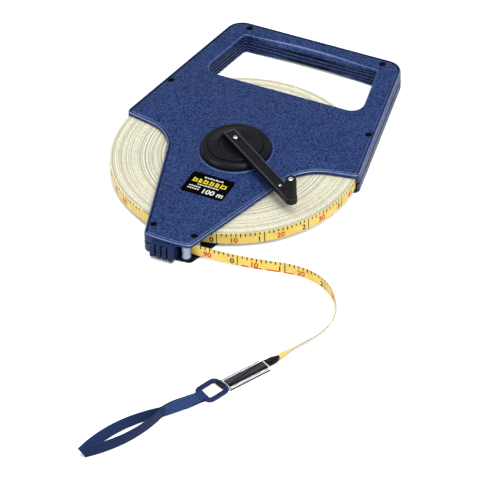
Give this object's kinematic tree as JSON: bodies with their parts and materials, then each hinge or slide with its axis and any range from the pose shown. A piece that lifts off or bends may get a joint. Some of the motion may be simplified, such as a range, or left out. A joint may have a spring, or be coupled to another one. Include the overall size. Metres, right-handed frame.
{
  "type": "surveyor tape reel",
  "caption": "Open-frame surveyor's tape reel with a hand grip, geared crank, mouth rollers and a free tape end with link and hand strap.",
  "frame": {"origin": "on the drum's axis, on the flat back face of the frame", "axes": "+Z along the drum's axis out of the front face, +Y towards the hand grip, -Y towards the nose and tape mouth"},
  "size_m": [0.2973, 0.5884, 0.057],
  "materials": {
    "blue_abs": "satin, fine moulded grain",
    "black_nylon": "satin",
    "grey_acetal": "satin",
    "gear_acetal": "smooth",
    "steel": "bright",
    "tape_edge": "wound tape edges",
    "tape_yellow": "printed fibreglass tape",
    "label_film": "printed film",
    "clear_vinyl": "clear",
    "webbing": "woven"
  },
  "bodies": {
    "frame": {"front_cover": "blue_abs", "back_cover": "blue_abs", "frame_screw_1": "steel", "frame_screw_2": "steel", "frame_screw_3": "steel", "frame_screw_4": "steel", "frame_screw_5": "steel", "frame_screw_6": "steel", "label": "label_film", "nose_foot": "blue_abs", "roller_pin": "steel", "hub_bezel": "black_nylon", "ring_gear": "gear_acetal", "tape_lead": "tape_yellow", "free_tape": "tape_yellow", "end_sleeve": "black_nylon", "sleeve_film": "clear_vinyl", "ring_link": "blue_abs", "hand_strap": "webbing"},
    "drum": {"tape_pack": "tape_edge", "drum": "gear_acetal", "tape_anchor_pin": "steel", "sun_gear": "gear_acetal"},
    "crank": {"crank_disc": "black_nylon", "crank_shaft": "steel", "crank_arm": "black_nylon", "crank_screw": "steel", "crank_washer": "steel", "arm_rivet": "steel", "knob_pin": "steel", "planet_pin_1": "steel", "planet_pin_2": "steel", "planet_pin_3": "steel"},
    "planet_1": {"planet_gear_1": "gear_acetal"},
    "planet_2": {"planet_gear_2": "gear_acetal"},
    "planet_3": {"planet_gear_3": "gear_acetal"},
    "knob": {"knob": "black_nylon"},
    "mouth_roller": {"mouth_roller": "grey_acetal"},
    "guide_roller": {"guide_roller": "grey_acetal"}
  },
  "joints": [
    {"name": "drum_spin", "type": "hinge", "parent": "frame", "child": "drum", "pos_m": [0, 0, 0.0106], "axis": [0, 0, 1], "continuous": true},
    {"name": "crank_spin", "type": "hinge", "parent": "frame", "child": "crank", "pos_m": [0, 0, 0.025], "axis": [0, 0, 1], "continuous": true},
    {"name": "planet_1_spin", "type": "hinge", "parent": "crank", "child": "planet_1", "pos_m": [0.01688, 0, 0.0193], "axis": [0, 0, 1], "continuous": true},
    {"name": "planet_2_spin", "type": "hinge", "parent": "crank", "child": "planet_2", "pos_m": [-0.00844, 0.01461, 0.0193], "axis": [0, 0, 1], "continuous": true},
    {"name": "planet_3_spin", "type": "hinge", "parent": "crank", "child": "planet_3", "pos_m": [-0.00844, -0.01461, 0.0193], "axis": [0, 0, 1], "continuous": true},
    {"name": "knob_spin", "type": "hinge", "parent": "crank", "child": "knob", "pos_m": [0.08385, -0.0572, 0.046], "axis": [0, 0, 1], "continuous": true},
    {"name": "mouth_roller_spin", "type": "hinge", "parent": "frame", "child": "mouth_roller", "pos_m": [0.0173, -0.1388, 0.0106], "axis": [0, 0, 1], "continuous": true},
    {"name": "guide_roller_spin", "type": "hinge", "parent": "frame", "child": "guide_roller", "pos_m": [0.0206, -0.1283, 0.0106], "axis": [0, 0, 1], "continuous": true}
  ],
  "couplings": [
    {"joint": "crank_spin", "follows": "drum_spin", "ratio": 0.33333},
    {"joint": "planet_1_spin", "follows": "drum_spin", "ratio": -1.3333},
    {"joint": "planet_2_spin", "follows": "drum_spin", "ratio": -1.3333},
    {"joint": "planet_3_spin", "follows": "drum_spin", "ratio": -1.3333}
  ]
}
